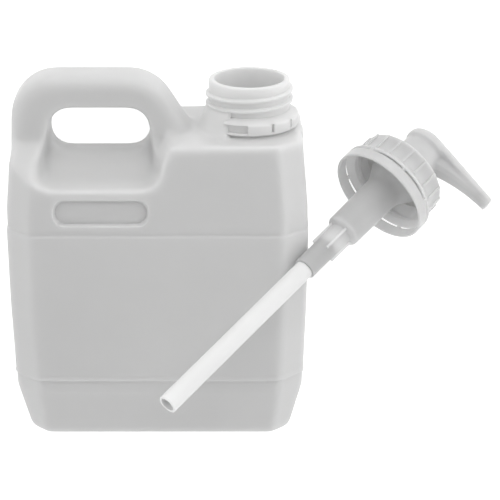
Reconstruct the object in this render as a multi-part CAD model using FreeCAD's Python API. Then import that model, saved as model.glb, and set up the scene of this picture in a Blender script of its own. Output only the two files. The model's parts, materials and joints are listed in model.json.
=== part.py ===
import FreeCAD, Part
import math
import os

Vector = FreeCAD.Vector

# Handled jug with a lotion pump taken off, lying on its back; +Y runs up the jug, +Z is up from the table.
# All sizes are in millimetres and degrees.

# Jug body
jug_half_width = 64.0
jug_half_depth = 32.0
jug_base_half_width = 56.0
jug_base_half_depth = 26.5
jug_bevel_half_width = 62.4
jug_bevel_half_depth = 31.3
jug_shoulder_half_width = 61.0
jug_shoulder_half_depth = 30.8
jug_bevel_height = 26.0
jug_widest_height = 103.0
jug_edge_chamfer = 10.0
jug_edge_round = 4.0
jug_base_round = 6.0
jug_corner_round_least = 0.2
jug_wall = 1.2
edge_steps = 3

# Plain band that stands proud all round the body, where the jug rests when it lies down
panel_low = 27.5
panel_high = 92.5
panel_proud = 0.5
panel_spare = 0.1

# Shoulder above the base, and the handle, whose rises and drops are counted from the shoulder
shoulder_height = 133.5
shoulder_round = 5.0
saddle_x = 17.5
handle_rise = 24.2
handle_slope_top_x = -1.0
handle_left_top_x = -61.3
handle_left_round = 18.0
handle_right_round = 14.0
handle_half_depth = 10.5
handle_edge_round = 5.0
handle_carve_drop = 16.5
handle_carve_right = 7.0
grip_left = -45.7
grip_right = -3.2
grip_drop = 9.3
grip_rise = 10.3
grip_round = 9.0
scoop_left = -52.5
scoop_right = 2.8
scoop_drop = 19.0
scoop_round = 9.0
scoop_lip_half = 5.0
scoop_belly = 6.0

# Bare label slot on the front, counted down from the shoulder
slot_left = -43.0
slot_right = -3.3
slot_low_drop = 34.2
slot_high_drop = 23.7
slot_depth = 1.2
slot_end_round = 5.0

# Neck finish, 38 mm class
neck_x = 39.0
neck_height = 21.0
neck_wall_radius = 17.2
neck_bore_radius = 14.75
neck_rim_chamfer = 0.8
neck_thread_radius = 18.6
thread_pitch = 4.23
thread_sink = 0.4
neck_thread_turns = 2.25
neck_thread_drop = 3.4
neck_thread_foot = 2.3
ratchet_radius = 21.1
ratchet_rise = 1.5
ratchet_height = 6.6
ratchet_slope = 2.2
ratchet_pocket_radius = 19.6
ratchet_pocket_turn = 72.0
ratchet_pocket_spread = 29.0
ratchet_floor = 0.8
ratchet_slot_width = 1.4
ratchet_slot_turns = (118.0, 146.0)
neck_flare_radius = 23.0

# Screw closure with tamper band
closure_height = 18.5
closure_top_wall = 1.4
closure_top_chamfer = 1.0
closure_skirt_radius = 20.2
closure_wall = 1.3
closure_hole_radius = 7.4
closure_rib_count = 18
closure_rib_width = 0.9
closure_rib_proud = 0.4
closure_thread_turns = 1.0
closure_thread_foot = 1.7
closure_thread_rise = 1.3
band_height = 5.0
band_radius = 22.7
band_wall = 1.1
band_slit = 1.0
band_bridge_count = 8
band_bridge_width = 1.6
band_bridge_inset = 0.1
band_bridge_sink = 0.2
band_shoulder = 1.8
band_shoulder_edge = 0.7

# Pump housing, below the closure's top
flange_radius = 17.0
flange_thickness = 1.2
gasket_thickness = 1.0
gasket_inner_radius = 14.0
cone_top_radius = 13.6
cone_length = 11.0
chamber_radius = 8.0
chamber_end_radius = 7.7
chamber_bore_radius = 6.7
chamber_length = 25.0
chamber_floor = 1.6
chamber_chamfer = 1.0
socket_radius = 5.0
socket_length = 25.5
fin_radius = 6.15
fin_length = 13.4
fin_thickness = 1.2
fin_turn = -20.0

# Dip tube
tube_radius = 4.1
tube_bore_radius = 3.0
tube_free_length = 88.0
tube_seat_depth = 15.0

# Check balls
inlet_ball_radius = 2.75
inlet_ball_room = 0.45
inlet_ball_lift = 1.5
outlet_ball_radius = 1.9
outlet_ball_room = 0.3
outlet_ball_lift = 1.5
ball_seat_share = 0.72
ball_lip_share = 0.9
ball_lip_height = 1.0
ball_notch_width = 1.2

# Plunger: spring, rod, piston and stem
spring_turns = 6.0
spring_wire_radius = 0.4
spring_mean_radius = 5.0
spring_shut_length = 9.4
rod_flange_radius = 5.9
rod_flange_thickness = 1.4
rod_radius = 3.4
rod_bore_radius = 1.5
rod_spigot_length = 5.0
piston_length = 6.5
piston_lip = 1.6
piston_groove = 0.8
stem_radius = 4.6
stem_into_head = 6.5

# Lock collar
collar_tube_radius = 7.0
collar_depth = 8.9
collar_flange_radius = 8.7
collar_flange_thickness = 1.4

# Pump head
head_radius = 10.6
head_height = 19.0
head_skirt_wall = 1.1
head_round = 2.2
spout_reach = 36.8
spout_root_half_width = 7.0
spout_tip_half_width = 3.4
spout_root_thickness = 9.5
spout_tip_thickness = 4.6
spout_arch = 2.2
spout_steps = 6
spout_under_share = 0.75
spout_under_round_share = 0.3
spout_top_round_share = 0.12
spout_bore_radius = 1.5
spout_way_share = 0.45
spout_way_dip = 0.184

# Clearances
running_gap = 0.05
snug_gap = 0.02
free_gap = 0.3

# How far a cut, or a block that is joined on, runs past the face where it starts
lap = 0.5

# How the pump lies: on the jug's front right edge, with its head on the table
pump_turn = 24.8
pump_lean_height = 83.3
pump_lean_gap = 0.35
head_turn = -28.0

# Places that follow from the sizes above
panel_middle = (panel_low + panel_high) / 2
parting = jug_half_depth
neck_rim_height = shoulder_height + neck_height
handle_top = shoulder_height + handle_rise
handle_carve_low = shoulder_height - handle_carve_drop
grip_low = shoulder_height - grip_drop
grip_high = shoulder_height + grip_rise
scoop_low = shoulder_height - scoop_drop
slot_low = shoulder_height - slot_low_drop
slot_high = shoulder_height - slot_high_drop
closure_under_top = closure_height - closure_top_wall
flange_top = closure_under_top - free_gap
flange_low = flange_top - flange_thickness
gasket_low = flange_low - gasket_thickness
cone_low = gasket_low - cone_length
chamber_low = -chamber_length
chamber_seat = chamber_low + chamber_floor
socket_low = chamber_low - socket_length
tube_top = socket_low + tube_seat_depth
inlet_seat_radius = inlet_ball_radius * ball_seat_share
inlet_lip_radius = inlet_ball_radius * ball_lip_share
inlet_bore_radius = inlet_ball_radius + inlet_ball_room
inlet_lip_low = chamber_seat - ball_lip_height
rod_low = chamber_seat + spring_shut_length
piston_low = rod_low + rod_flange_thickness
piston_top = piston_low + piston_length
stem_low = piston_top + snug_gap
collar_low = flange_top - collar_depth
stroke = collar_low - piston_top - free_gap
collar_flange_low = closure_height + free_gap
collar_top = collar_flange_low + collar_flange_thickness
head_low = closure_height + free_gap
head_top = head_low + head_height
stem_top = collar_top + free_gap + stem_into_head
outlet_seat_radius = outlet_ball_radius * ball_seat_share
outlet_lip_radius = outlet_ball_radius * ball_lip_share
chamfer_along = Vector(jug_edge_chamfer, 0, -jug_edge_chamfer).normalize()
chamfer_out = Vector(jug_edge_chamfer, 0, jug_edge_chamfer).normalize()


def reach_on_ball(ball_radius, edge_radius):
    # how far a ball's centre stands from the round edge that it sits on
    return math.sqrt(ball_radius ** 2 - edge_radius ** 2)


def offset_polygon(points, amount):
    # moves every side of an anticlockwise polygon outwards by the amount
    moved = []
    count = len(points)
    for index in range(count):
        before = points[index - 1]
        here = points[index]
        after = points[(index + 1) % count]
        first = unit(before, here)
        second = unit(here, after)
        turn = 1 + first[0] * second[0] + first[1] * second[1]
        shift_x = (first[1] + second[1]) / turn * amount
        shift_y = -(first[0] + second[0]) / turn * amount
        moved.append((here[0] + shift_x, here[1] + shift_y))
    return moved


def unit(start, end):
    length = math.hypot(end[0] - start[0], end[1] - start[1])
    return ((end[0] - start[0]) / length, (end[1] - start[1]) / length)


def rounded_wire(points, radii, place):
    # closed wire through the points, each corner rounded by its radius; place turns a flat point into space
    edges = []
    ends = []
    count = len(points)
    for index in range(count):
        here = points[index]
        back = unit(here, points[index - 1])
        ahead = unit(here, points[(index + 1) % count])
        angle = math.acos(max(-1, min(1, back[0] * ahead[0] + back[1] * ahead[1])))
        radius = radii[index]
        cut = radius / math.tan(angle / 2)
        start = (here[0] + back[0] * cut, here[1] + back[1] * cut)
        end = (here[0] + ahead[0] * cut, here[1] + ahead[1] * cut)
        bisector = unit((0, 0), (back[0] + ahead[0], back[1] + ahead[1]))
        dip = radius / math.sin(angle / 2) - radius
        middle = (here[0] + bisector[0] * dip, here[1] + bisector[1] * dip)
        ends.append((start, middle, end, radius))
    for index in range(count):
        start, middle, end, radius = ends[index]
        if radius > 0:
            edges.append(Part.Arc(place(*start), place(*middle), place(*end)).toShape())
        following = ends[(index + 1) % count][0]
        if math.hypot(following[0] - end[0], following[1] - end[1]) > 1e-6:
            edges.append(Part.LineSegment(place(*end), place(*following)).toShape())
    return Part.Wire(edges)


def front_wire(points, radii, depth):
    # front-view outline, given as x and height above the base
    return rounded_wire(points, radii, lambda x, height: Vector(x, height - panel_middle, depth))


def front_prism(points, radii, low, high):
    return Part.Face(front_wire(points, radii, low)).extrude(Vector(0, 0, high - low))


def side_prism(points, radii, left, right, back):
    # side-view outline, given as height and depth, carried across; back turns it round the parting plane
    def place(height, depth):
        z = 2 * parting - depth if back else depth
        return Vector(left, height - panel_middle, z)
    return Part.Face(rounded_wire(points, radii, place)).extrude(Vector(right - left, 0, 0))


def body_section(height, half_width, half_depth, grow):
    # plan section of the body: a rectangle with chamfered, softened corners
    cut = jug_edge_chamfer
    points = []
    corners = [(1, -1, True), (1, 1, False), (-1, 1, True), (-1, -1, False)]
    for side, face, width_last in corners:
        along = (side * (half_width - cut), face * half_depth)
        across = (side * half_width, face * (half_depth - cut))
        pair = [along, across] if width_last else [across, along]
        points.extend(pair)
    points = offset_polygon(points, grow)
    corner_round = max(jug_corner_round_least, jug_edge_round + jug_wall + grow)
    radii = [corner_round] * len(points)
    return rounded_wire(points, radii, lambda x, z: Vector(x, height - panel_middle, parting + z))


def body_side(height):
    # half width and half depth of the plain body at a height between the foot's bevel and the shoulder
    foot = (jug_bevel_half_width, jug_bevel_half_depth)
    widest = (jug_half_width, jug_half_depth - panel_proud)
    shoulder = (jug_shoulder_half_width, jug_shoulder_half_depth)
    if height < jug_widest_height:
        share = (height - jug_bevel_height) / (jug_widest_height - jug_bevel_height)
        return [low + share * (high - low) for low, high in zip(foot, widest)]
    share = (height - jug_widest_height) / (shoulder_height - jug_widest_height)
    return [low + share * (high - low) for low, high in zip(widest, shoulder)]


def body_loft(inset):
    # body from the base to the shoulder, both edges rounded in steps, with a bevelled foot and a proud band
    sections = []
    base_round = jug_base_round - inset
    top_round = shoulder_round - inset
    for step in range(edge_steps + 1):
        angle = math.pi / 2 * (1 - step / edge_steps)
        height = inset + base_round * (1 - math.sin(angle))
        share = height / jug_bevel_height
        width = jug_base_half_width + share * (jug_bevel_half_width - jug_base_half_width)
        depth = jug_base_half_depth + share * (jug_bevel_half_depth - jug_base_half_depth)
        draw = base_round * (1 - math.cos(angle))
        sections.append(body_section(height, width, depth, -inset - draw))
    for height in (jug_bevel_height, jug_widest_height):
        width, depth = body_side(height)
        sections.append(body_section(height, width, depth, -inset))
    for step in range(edge_steps + 1):
        angle = math.pi / 2 * step / edge_steps
        height = shoulder_height - inset - top_round * (1 - math.sin(angle))
        width, depth = body_side(height)
        sections.append(body_section(height, width, depth, -inset - top_round * (1 - math.cos(angle))))
    return Part.makeLoft(sections, True, True).fuse(body_band(inset))


def body_band(inset):
    # the proud band, with its front and back cut flat from a slightly deeper blank
    sections = []
    for height in (panel_low + inset, panel_high - inset):
        width = body_side(height)[0] + panel_proud
        sections.append(body_section(height, width, jug_half_depth + panel_spare, -inset))
    blank = Part.makeLoft(sections, True, True)
    width = 4 * jug_half_width
    length = 2 * panel_high
    slab = Part.makeBox(width, length, 2 * (jug_half_depth - inset), Vector(-width / 2, -length / 2, inset))
    return blank.common(slab)


def handle_bar(inset):
    # handle loop in front view, carried through its depth with edges rounded in steps
    root = handle_carve_low
    side = body_side(root)[0]
    points = [
        (-side, root),
        (saddle_x, root),
        (saddle_x, shoulder_height - shoulder_round),
        (handle_slope_top_x, handle_top),
        (handle_left_top_x, handle_top),
    ]
    radii = [0, 0, 0, handle_right_round, handle_left_round]
    edge_round = handle_edge_round - inset
    half = handle_half_depth - inset
    sections = []
    for side_sign in (-1, 1):
        layers = []
        for step in range(edge_steps + 1):
            angle = math.pi / 2 * step / edge_steps
            draw = inset + edge_round * (1 - math.cos(angle))
            depth = half - edge_round * (1 - math.sin(angle))
            outline = offset_polygon(points, -draw)
            rounds = [radius - draw if radius else 0 for radius in radii]
            layers.append(front_wire(outline, rounds, parting + side_sign * depth))
        sections.extend(layers[::-1] if side_sign < 0 else layers)
    return Part.makeLoft(sections, True, True)


def post_cut(inset, back):
    # slope that brings the body's face back to the handle, left of the shoulder
    deep = parting + handle_half_depth - handle_edge_round
    face = parting + jug_half_depth
    front = face + jug_half_depth
    slope = [
        (handle_carve_low, face),
        (shoulder_height, deep),
        (2 * shoulder_height, deep),
        (2 * shoulder_height, front),
        (handle_carve_low, front),
    ]
    slope = offset_polygon(slope, inset)
    return side_prism(slope, [0] * len(slope), -2 * jug_half_width, handle_carve_right + inset, back)


def scoop_cut(inset, back):
    # finger scoop below and round the grip hole, a concave ramp out to the body's face
    lip = parting + scoop_lip_half - inset
    face = parting + 2 * jug_half_depth
    low = scoop_low - inset
    middle_height = (low + grip_low - inset) / 2
    middle_depth = (lip + parting + jug_half_depth) / 2
    ramp = unit((low, parting + jug_half_depth), (grip_low - inset, lip))
    belly = (middle_height + ramp[1] * scoop_belly, middle_depth - ramp[0] * scoop_belly)
    top = grip_high + inset

    def place(height, depth):
        z = 2 * parting - depth if back else depth
        return Vector(scoop_left - inset, height - panel_middle, z)
    outer = place(low, parting + jug_half_depth)
    arc = Part.Arc(place(grip_low - inset, lip), place(*belly), outer).toShape()
    rest = [
        outer,
        place(low, face),
        place(top, face),
        place(top, lip),
        place(grip_low - inset, lip),
    ]
    edges = [arc]
    for start, end in zip(rest, rest[1:]):
        edges.append(Part.LineSegment(start, end).toShape())
    width = scoop_right - scoop_left + 2 * inset
    ramp_solid = Part.Face(Part.Wire(edges)).extrude(Vector(width, 0, 0))
    outline = [
        (scoop_left, scoop_low),
        (scoop_right, scoop_low),
        (scoop_right, grip_high),
        (scoop_left, grip_high),
    ]
    radii = [scoop_round + inset] * 4
    window = front_prism(offset_polygon(outline, inset), radii, -jug_half_depth, 3 * jug_half_depth)
    return ramp_solid.common(window)


def grip_hole(inset):
    outline = [
        (grip_left, grip_low),
        (grip_right, grip_low),
        (grip_right, grip_high),
        (grip_left, grip_high),
    ]
    radii = [grip_round + inset] * 4
    return front_prism(offset_polygon(outline, inset), radii, -jug_half_depth, 3 * jug_half_depth)


def label_slot(inset):
    outline = [
        (slot_left, slot_low),
        (slot_right, slot_low),
        (slot_right, slot_high),
        (slot_left, slot_high),
    ]
    floor = 2 * parting - panel_proud - slot_depth - inset
    radii = [slot_end_round + inset] * 4
    return front_prism(offset_polygon(outline, inset), radii, floor, 3 * jug_half_depth)


def jug_form(inset):
    # the jug without its neck; the inset draws every wall inwards, for the inside of the shell
    form = body_loft(inset)
    for back in (False, True):
        form = form.cut(post_cut(inset, back))
    form = form.fuse(handle_bar(inset))
    for back in (False, True):
        form = form.cut(scoop_cut(inset, back))
    return form.cut(grip_hole(inset)).cut(label_slot(inset))


def turned(points):
    # solid turned from a closed profile of radius and height pairs round the Z axis
    path = [Vector(radius, 0, height) for radius, height in points]
    path.append(path[0])
    return Part.Face(Part.makePolygon(path)).revolve(Vector(0, 0, 0), Vector(0, 0, 1), 360)


def drum(radius, low, high):
    return Part.makeCylinder(radius, high - low, Vector(0, 0, low))


def ring(inner, outer, low, high):
    return drum(outer, low, high).cut(drum(inner, low - lap, high + lap))


def sector(outer, low, high, middle, spread):
    # pie-shaped block round the Z axis, for windows and gaps in a ring
    block = Part.makeCylinder(outer, high - low, Vector(0, 0, low), Vector(0, 0, 1), spread)
    block.rotate(Vector(0, 0, 0), Vector(0, 0, 1), middle - spread / 2)
    return block


def thread_ridge(root, crest, low, turns, foot):
    # helical ridge with sloping flanks; it is sunk a little into the wall that carries it
    helix = Part.makeHelix(thread_pitch, thread_pitch * turns, root)
    sink = math.copysign(thread_sink, root - crest)
    profile = Part.makePolygon([
        Vector(root + sink, 0, -foot / 2),
        Vector(crest, 0, -foot / 6),
        Vector(crest, 0, foot / 6),
        Vector(root + sink, 0, foot / 2),
        Vector(root + sink, 0, -foot / 2),
    ])
    ridge = Part.Wire(helix).makePipeShell([profile], True, True)
    ridge.translate(Vector(0, 0, low))
    return ridge


def neck_solids():
    # neck about the Z axis with its rim at zero: wall, thread, ratchet ring and flare down to the shoulder
    foot = -neck_height
    low = foot + ratchet_rise
    high = low + ratchet_height
    root = foot - shoulder_round
    wall = turned([
        (0, root),
        (neck_flare_radius, root),
        (neck_flare_radius, foot),
        (ratchet_radius, low),
        (neck_wall_radius, low),
        (neck_wall_radius, -neck_rim_chamfer),
        (neck_wall_radius - neck_rim_chamfer, 0),
        (0, 0),
    ])
    lugs = turned([
        (0, low),
        (ratchet_radius, low),
        (ratchet_radius, high - ratchet_slope),
        (neck_wall_radius, high),
        (0, high),
    ])
    core = drum(ratchet_pocket_radius, low, high)
    gap_low = low + ratchet_floor
    gap_high = high - ratchet_slope
    slit_spread = math.degrees(ratchet_slot_width / ratchet_radius)
    gaps = [(ratchet_pocket_turn, ratchet_pocket_spread)]
    for middle in ratchet_slot_turns:
        gaps.append((middle, slit_spread))
    for start in (0, 180):
        for middle, spread in gaps:
            gap = sector(2 * ratchet_radius, gap_low, gap_high, start + middle, spread)
            lugs = lugs.cut(gap.cut(core))
    turns = neck_thread_turns
    ridge_low = -neck_thread_drop - turns * thread_pitch
    ridge = thread_ridge(neck_wall_radius, neck_thread_radius, ridge_low, turns, neck_thread_foot)
    return wall.fuse(lugs).fuse(ridge)


def stand_on_neck(shape):
    # the neck's own Z axis becomes the jug's +Y at the neck
    shape.rotate(Vector(0, 0, 0), Vector(1, 0, 0), -90)
    shape.translate(Vector(neck_x, neck_rim_height - panel_middle, parting))
    return shape


def make_bottle_shell():
    neck = stand_on_neck(neck_solids())
    bore = stand_on_neck(drum(neck_bore_radius, -neck_height - shoulder_round, lap))
    return jug_form(0).fuse(neck).cut(jug_form(jug_wall)).cut(bore)


def make_closure_cap():
    inner = closure_skirt_radius - closure_wall
    band_inner = band_radius - band_wall
    skirt_low = band_height + band_slit
    rib_low = skirt_low + band_shoulder
    rib_top = closure_height - closure_top_chamfer
    cap = turned([
        (closure_hole_radius, closure_under_top),
        (inner, closure_under_top),
        (inner, rib_low),
        (band_inner, skirt_low),
        (band_radius, skirt_low),
        (band_radius, skirt_low + band_shoulder_edge),
        (closure_skirt_radius, rib_low),
        (closure_skirt_radius, rib_top),
        (closure_skirt_radius - closure_top_chamfer, closure_height),
        (closure_hole_radius, closure_height),
    ])
    for index in range(closure_rib_count):
        corner = Vector(inner, -closure_rib_width / 2, rib_low)
        rib = Part.makeBox(closure_wall + closure_rib_proud, closure_rib_width, rib_top - rib_low, corner)
        rib.rotate(Vector(0, 0, 0), Vector(0, 0, 1), 360 / closure_rib_count * index)
        cap = cap.fuse(rib)
    bridge_low = band_height - band_bridge_sink
    for index in range(band_bridge_count):
        corner = Vector(band_inner + band_bridge_inset, -band_bridge_width / 2, bridge_low)
        depth = band_wall - 2 * band_bridge_inset
        bridge = Part.makeBox(depth, band_bridge_width, band_slit + 2 * band_bridge_sink, corner)
        bridge.rotate(Vector(0, 0, 0), Vector(0, 0, 1), 360 / band_bridge_count * (index + 0.5))
        cap = cap.fuse(bridge)
    cap = cap.fuse(ring(band_inner, band_radius, 0, band_height))
    crest = neck_wall_radius + free_gap
    ridge_low = rib_low + closure_thread_rise
    ridge = thread_ridge(inner, crest, ridge_low, closure_thread_turns, closure_thread_foot)
    return cap.fuse(ridge)


def make_neck_gasket():
    return ring(gasket_inner_radius, flange_radius, gasket_low, flange_low)


def make_lock_collar():
    # tube snapped into the housing, with a flange over the closure and a bore that guides the stem
    bore = stem_radius + running_gap
    neck = closure_hole_radius - free_gap
    return turned([
        (bore, collar_low),
        (collar_tube_radius, collar_low),
        (collar_tube_radius, flange_top),
        (neck, flange_top),
        (neck, collar_flange_low),
        (collar_flange_radius, collar_flange_low),
        (collar_flange_radius, collar_top),
        (bore, collar_top),
    ])


def make_pump_housing():
    inlet_seat = inlet_lip_low - inlet_ball_lift
    inlet_seat -= reach_on_ball(inlet_ball_radius, inlet_seat_radius)
    inlet_seat -= reach_on_ball(inlet_ball_radius, inlet_lip_radius)
    body = turned([
        (0, socket_low),
        (socket_radius, socket_low),
        (socket_radius, chamber_low - chamber_chamfer),
        (chamber_end_radius - chamber_chamfer, chamber_low),
        (chamber_end_radius, chamber_low + chamber_chamfer),
        (chamber_radius, cone_low),
        (cone_top_radius, gasket_low),
        (cone_top_radius, flange_low),
        (flange_radius, flange_low),
        (flange_radius, flange_top),
        (0, flange_top),
    ])
    for index in range(4):
        corner = Vector(0, -fin_thickness / 2, chamber_low - fin_length)
        fin = Part.makeBox(fin_radius, fin_thickness, fin_length + lap, corner)
        fin.rotate(Vector(0, 0, 0), Vector(0, 0, 1), fin_turn + 90 * index)
        body = body.fuse(fin)
    hollow = drum(chamber_bore_radius, chamber_seat, flange_top + lap)
    hollow = hollow.fuse(drum(collar_tube_radius + snug_gap, collar_low, flange_top + lap))
    hollow = hollow.fuse(drum(inlet_lip_radius, inlet_lip_low - lap, chamber_seat + lap))
    hollow = hollow.fuse(drum(inlet_bore_radius, inlet_seat, inlet_lip_low))
    hollow = hollow.fuse(drum(inlet_seat_radius, tube_top - lap, inlet_seat + lap))
    hollow = hollow.fuse(drum(tube_radius + snug_gap, socket_low - lap, tube_top + snug_gap))
    for index in range(2):
        corner = Vector(-inlet_bore_radius, -ball_notch_width / 2, inlet_lip_low - lap)
        notch = Part.makeBox(2 * inlet_bore_radius, ball_notch_width, ball_lip_height + 2 * lap, corner)
        notch.rotate(Vector(0, 0, 0), Vector(0, 0, 1), 90 * index)
        hollow = hollow.fuse(notch)
    return body.cut(hollow)


def make_dip_tube():
    return ring(tube_bore_radius, tube_radius, socket_low - tube_free_length, tube_top)


def make_inlet_ball():
    # lies against its cage, because the pump lies with its head down
    centre = inlet_lip_low - reach_on_ball(inlet_ball_radius, inlet_lip_radius) - running_gap
    return Part.makeSphere(inlet_ball_radius, Vector(0, 0, centre))


def arc_between(start, corner, end):
    # arc that leaves the start and reaches the end along the two lines through the corner
    middle = (start + end) * 0.5
    half = (end - start).Length / 2
    rise = (corner - middle).Length
    sag = half * math.tan(math.atan(rise / half) / 2)
    return Part.Arc(start, middle + (corner - middle) * (sag / rise), end).toShape()


def helix_point(turn, low, lead):
    angle = 2 * math.pi * turn
    radius = spring_mean_radius
    return Vector(radius * math.cos(angle), radius * math.sin(angle), low + lead * turn)


def helix_heading(turn, lead):
    angle = 2 * math.pi * turn
    round_turn = 2 * math.pi * spring_mean_radius
    return Vector(-round_turn * math.sin(angle), round_turn * math.cos(angle), lead).normalize()


def make_return_spring():
    # one round wire wound as pairs of tangent arcs, a quarter turn to each pair
    low = chamber_seat + spring_wire_radius + snug_gap
    lead = (spring_shut_length - 2 * spring_wire_radius - 2 * snug_gap) / spring_turns
    quarters = round(spring_turns * 4)
    edges = []
    for index in range(quarters):
        start = helix_point(index / 4, low, lead)
        end = helix_point((index + 1) / 4, low, lead)
        leave = helix_heading(index / 4, lead)
        arrive = helix_heading((index + 1) / 4, lead)
        span = end - start
        both = span.dot(leave + arrive)
        spread = 1 - leave.dot(arrive)
        reach = (math.sqrt(both ** 2 + 2 * spread * span.dot(span)) - both) / (2 * spread)
        first = start + leave * reach
        second = end - arrive * reach
        joint = (first + second) * 0.5
        edges.append(arc_between(start, first, joint))
        edges.append(arc_between(joint, second, end))
    path = Part.Wire(edges)
    circle = Part.makeCircle(spring_wire_radius, helix_point(0, low, lead), helix_heading(0, lead))
    print("spring: least gap between turns", round(lead - 2 * spring_wire_radius, 2), "mm")
    return path.makePipeShell([Part.Wire(circle)], True, False)


def make_piston_rod():
    spigot_top = stem_low + rod_spigot_length
    return turned([
        (rod_bore_radius, rod_low),
        (rod_flange_radius, rod_low),
        (rod_flange_radius, piston_low),
        (rod_radius, piston_low),
        (rod_radius, spigot_top),
        (rod_bore_radius, spigot_top),
    ])


def make_piston():
    # seal with a lip at each end and a shallow groove between them
    outer = chamber_bore_radius - running_gap
    inner = rod_radius + snug_gap
    return turned([
        (inner, piston_low + snug_gap),
        (outer, piston_low + snug_gap),
        (outer, piston_low + piston_lip),
        (outer - piston_groove, piston_low + piston_lip + piston_groove),
        (outer - piston_groove, piston_top - piston_lip - piston_groove),
        (outer, piston_top - piston_lip),
        (outer, piston_top),
        (inner, piston_top),
    ])


def make_stem():
    spigot_top = stem_low + rod_spigot_length + free_gap
    ball_bore = outlet_ball_radius + outlet_ball_room
    seat = stem_top - outlet_ball_lift
    seat -= reach_on_ball(outlet_ball_radius, outlet_lip_radius)
    seat -= reach_on_ball(outlet_ball_radius, outlet_seat_radius)
    return turned([
        (rod_radius + running_gap, stem_low),
        (stem_radius, stem_low),
        (stem_radius, stem_top),
        (ball_bore, stem_top),
        (ball_bore, seat),
        (outlet_seat_radius, seat),
        (outlet_seat_radius, spigot_top),
        (rod_radius + running_gap, spigot_top),
    ])


def make_outlet_ball():
    centre = stem_top - reach_on_ball(outlet_ball_radius, outlet_lip_radius) - running_gap
    return Part.makeSphere(outlet_ball_radius, Vector(0, 0, centre))


def spout_section(along, half_width, top, thickness):
    # cross-section of the spout: flat top with soft lower corners
    points = [
        (-half_width * spout_under_share, top - thickness),
        (half_width * spout_under_share, top - thickness),
        (half_width, top),
        (-half_width, top),
    ]
    radii = [thickness * spout_under_round_share] * 2 + [thickness * spout_top_round_share] * 2
    return rounded_wire(points, radii, lambda y, z: Vector(along, y, z))


def make_actuator_head():
    # round press-down head with an arched spout; its skirt drops over the collar's flange
    dome = turned([
        (0, head_low),
        (head_radius, head_low),
        (head_radius, head_top - head_round),
        (head_radius - head_round, head_top),
        (0, head_top),
    ])
    sections = []
    for index in range(spout_steps + 1):
        share = index / spout_steps
        along = share * spout_reach
        half_width = spout_root_half_width + share * (spout_tip_half_width - spout_root_half_width)
        thickness = spout_root_thickness + share * (spout_tip_thickness - spout_root_thickness)
        top = head_top - spout_arch * share ** 2
        sections.append(spout_section(along, half_width, top, thickness))
    spout = Part.makeLoft(sections, True, False)
    head = dome.fuse(spout)
    skirt_bore = head_radius - head_skirt_wall
    head = head.cut(drum(skirt_bore, head_low - lap, collar_top + free_gap))
    head = head.cut(drum(stem_radius + snug_gap, collar_top, stem_top))
    way_top = head_top - spout_root_thickness * spout_way_share
    head = head.cut(drum(outlet_lip_radius, stem_top - lap, way_top))
    way_start = Vector(0, 0, way_top - spout_bore_radius)
    way = Part.makeCylinder(spout_bore_radius, 2 * spout_reach, way_start, Vector(1, 0, -spout_way_dip))
    return head.cut(way)


def pump_direction():
    # the pump lies flat against the edge chamfer, turned a little up the jug
    turn = math.radians(pump_turn)
    return chamfer_along * math.cos(turn) + Vector(0, 1, 0) * math.sin(turn)


def pump_rotation(spin):
    # turned by zero, the pump's own X axis is level and points down the jug; a positive spin dips it
    along = pump_direction()
    level = along.cross(Vector(0, 0, 1)).normalize()
    axes = FreeCAD.Rotation(level, along.cross(level), along, "ZXY")
    return axes.multiply(FreeCAD.Rotation(Vector(0, 0, 1), spin))


def placed(shape, rotation, base):
    moved = shape.copy()
    moved.Placement = FreeCAD.Placement(base, rotation).multiply(moved.Placement)
    return moved


def pump_base(head):
    # point of the pump's axis at the closure's rim, found by sliding the head down onto the table
    along = pump_direction()
    edge_width = body_side(pump_lean_height)[0] + panel_proud
    edge = Vector(edge_width, 0, parting + jug_half_depth - jug_edge_chamfer)
    start = edge + chamfer_out * (socket_radius + pump_lean_gap)
    start.y = pump_lean_height - panel_middle
    start = start - along * socket_low
    low = placed(head, pump_rotation(head_turn), start).BoundBox.ZMin
    return start + along * (low / -along.z)


def main():
    os.makedirs("parts", exist_ok=True)
    head = make_actuator_head()
    base = pump_base(head)
    still = pump_rotation(0)
    turned_head = pump_rotation(head_turn)
    pieces = {
        "bottle_shell": make_bottle_shell(),
        "closure_cap": placed(make_closure_cap(), still, base),
        "neck_gasket": placed(make_neck_gasket(), still, base),
        "lock_collar": placed(make_lock_collar(), still, base),
        "pump_housing": placed(make_pump_housing(), still, base),
        "dip_tube": placed(make_dip_tube(), still, base),
        "inlet_ball": placed(make_inlet_ball(), still, base),
        "return_spring": placed(make_return_spring(), still, base),
        "piston_rod": placed(make_piston_rod(), still, base),
        "piston": placed(make_piston(), still, base),
        "stem": placed(make_stem(), turned_head, base),
        "outlet_ball": placed(make_outlet_ball(), turned_head, base),
        "actuator_head": placed(head, turned_head, base),
    }
    for name, shape in pieces.items():
        print(name, len(shape.Solids), "solid", shape.isValid(), round(shape.Volume), "mm3")
        shape.exportStep("parts/" + name + ".step")
    print("pump axis", pump_direction(), "through", base, "stroke", round(stroke, 2))


main()
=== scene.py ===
import bpy
import json
import math
from mathutils import Matrix, Vector


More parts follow.
